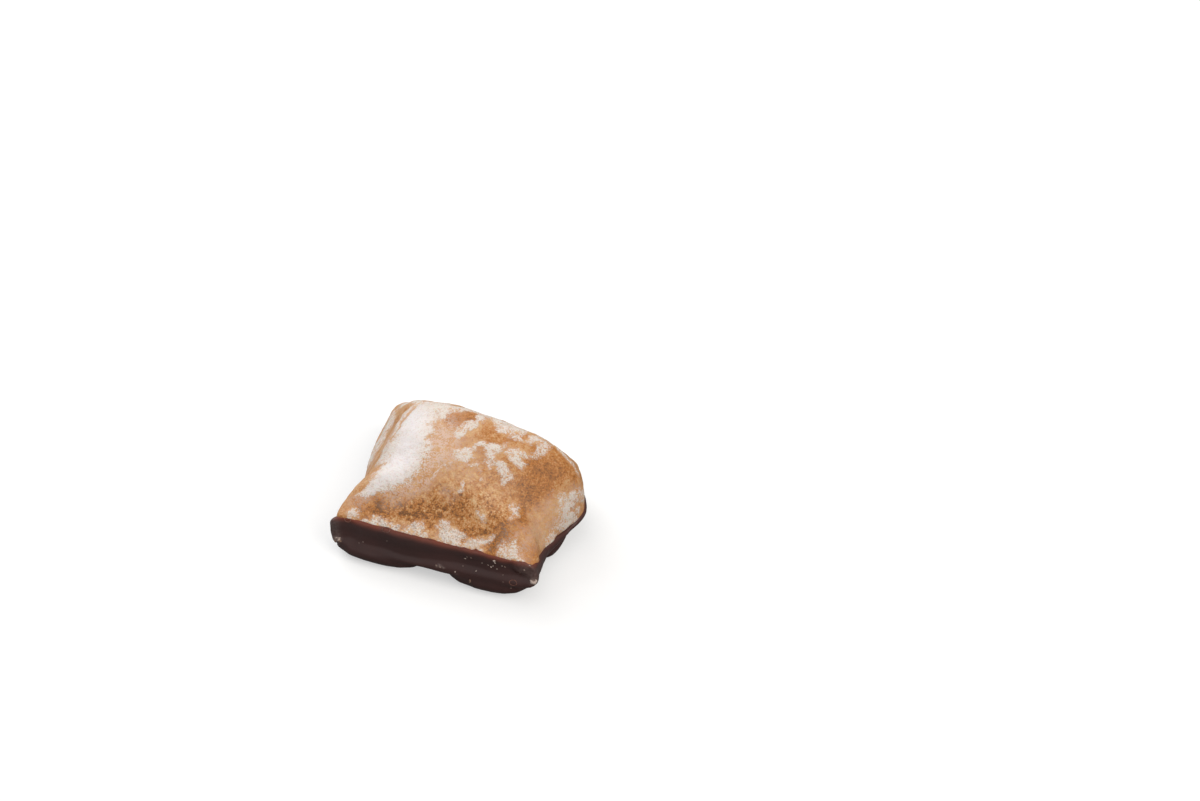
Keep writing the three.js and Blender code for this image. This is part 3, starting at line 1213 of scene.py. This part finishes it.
@dataclass
class Crumbs:
    """Crumbs that stuck to the piece while it was soft, all of them copies of one model."""

    name: str
    camera: PhotoCamera
    finish: CrumbFinish
    slot: Slot
    crumbs: tuple[Crumb, ...]
    width: float = 0.6
    roughness: float = 0.15
    turn: float = 2.4
    sink: float = 0.4
    radius: float = 0.5 * MM
    ball_levels: int = 2
    outward: float = 0.4
    seed: int = 1

    def build(self, carrier: Piece) -> Piece:
        """Models a crumb and sets copies of it in their carrier.

        Args:
            carrier: the piece that they stick to.

        Returns:
            The finished piece, all crumbs in one mesh.
        """
        brush = Brush(carrier, self.camera)
        model = self._model()
        copies = [self._copy(model, brush, crumb, number) for number, crumb in enumerate(self.crumbs)]
        bpy.data.meshes.remove(model.data)
        select_only(copies[0])
        for copy in copies:
            copy.select_set(True)
        bpy.ops.object.join()
        piece = bpy.context.object
        piece.name = self.name
        bpy.ops.object.shade_smooth()
        piece.data.materials.append(self.finish.build())
        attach(piece, "root")
        return piece

    def _model(self) -> Piece:
        """Models one crumb of a millimetre, uneven and narrower than it is long.

        Returns:
            The crumb, at the origin.
        """
        bpy.ops.object.select_all(action="DESELECT")
        self._start()
        with editing():
            bpy.ops.transform.vertex_random(offset=self.roughness * MM, normal=self.outward, seed=self.seed)
            bpy.ops.transform.resize(value=(1.0, self.width, 1.0))
        return bpy.context.object

    def _start(self) -> None:
        """Adds the ball that the crumb is made from."""
        bpy.ops.mesh.primitive_ico_sphere_add(subdivisions=self.ball_levels, radius=self.radius)

    def _copy(self, model: Piece, brush: Brush, crumb: Crumb, number: int) -> Piece:
        """Sets a copy of the model on the carrier, and lets it down onto the curve under it.

        Args:
            model: what to copy.
            brush: the carrier, ready for placing things on it.
            crumb: the place and the size of the copy.
            number: tells how far it is turned.

        Returns:
            The copy, its place in its own mesh.
        """
        place = brush.spot(crumb.pixel)
        normal = brush.tree.find_nearest(place)[1]
        height = crumb.length * crumb.flatness
        lift = (0.5 - self.sink) * height / 2 * MM
        upright = normal.to_track_quat("Z", "Y").to_matrix().to_4x4()
        turn = Matrix.Rotation(self.turn * number, 4, "Z")
        size = Matrix.Diagonal((crumb.length, crumb.length, height, 1))
        copy = model.copy()
        copy.data = model.data.copy()
        copy.data.transform(Matrix.Translation(place + normal * lift) @ upright @ turn @ size)
        for vertex in copy.data.vertices:
            above = (vertex.co - place).dot(normal)
            foot = brush.tree.find_nearest(vertex.co - normal * above)
            vertex.co = foot[0] + foot[1] * above
        bpy.context.scene.collection.objects.link(copy)
        return copy


@dataclass
class Bubbles(Crumbs):
    """Burst bubbles along the edge of the chocolate, each a thin ring that has set."""

    width: float = 0.82
    roughness: float = 0.035
    turn: float = 0.0
    sink: float = 0.5
    tube: float = 0.06 * MM
    segments: int = 28
    tube_segments: int = 8

    def _start(self) -> None:
        """Adds the ring that the bubble is made from."""
        bpy.ops.mesh.primitive_torus_add(
            major_radius=self.radius,
            minor_radius=self.tube,
            major_segments=self.segments,
            minor_segments=self.tube_segments,
        )


SUGAR = CrumbFinish("sugar_crumb", srgb(204, 186, 176), srgb(128, 106, 96))
BAKED = CrumbFinish("baked_crumb", srgb(150, 122, 102), srgb(92, 66, 54))
SKIN = CrumbFinish("bubble_skin", srgb(126, 82, 68), srgb(84, 50, 42))

FRONT_SPECKS = (
    *spread(
        0.3,
        *((465, 558.5, 0.45), (467, 557, 0.3), (471, 558, 0.4), (482, 563, 0.25), (494, 561, 0.6), (495, 563, 0.4)),
        *((491, 567, 0.4), (493, 566, 0.35), (497, 569, 0.3), (488, 565, 0.3), (505, 567, 0.45), (502, 566, 0.3)),
        *((520, 573, 0.3), (524, 570, 0.4), (530, 565.5, 0.5), (463, 566, 0.25), (503, 575, 0.25)),
        *((511, 588, 0.3), (503, 582, 0.25), (363, 542, 0.3), (387, 541, 0.25), (359, 543, 0.25)),
    ),
    *spread(0.4, (533, 582.5, 1.5), (536, 581, 0.8), (339, 539, 0.9), (336.5, 538, 0.5)),
    *spread(0.2, (440, 567, 0.5), (436, 565.5, 0.5), (455, 572, 0.4), (476, 571, 0.3)),
)
LOOSE_CRUMBS = (
    *spread(0.6, (340, 541, 0.7), (335, 541, 0.6), (470, 581, 0.8)),
    *spread(0.6, (416, 534, 0.6), (430, 539, 0.5), (445, 543, 0.6), (460, 547, 0.5)),
)
RINGS = spread(1.0, (347.5, 519.5, 1.4), (386, 530, 1.6), (513, 583, 1.5))


def main() -> None:
    """Builds the scene in order."""
    logging.basicConfig(level=logging.INFO, format="%(name)s: %(message)s")
    camera = PhotoCamera()
    camera.build()
    Studio().build()
    gingerbread = Gingerbread(camera).build()
    chocolate = ChocolateBase(camera).build(gingerbread)
    specks = Crumbs("sugar_specks", camera, SUGAR, Slot.CRUST, FRONT_SPECKS).build(chocolate)
    crumbs = Crumbs("loose_crumbs", camera, BAKED, Slot.CRUST, LOOSE_CRUMBS).build(chocolate)
    bubbles = Bubbles("burst_bubbles", camera, SKIN, Slot.CHOCOLATE, RINGS).build(chocolate)
    for piece in (gingerbread, chocolate, specks, crumbs, bubbles):
        log.info("%s has %d faces", piece.name, len(piece.data.polygons))


if __name__ == "__main__":
    main()
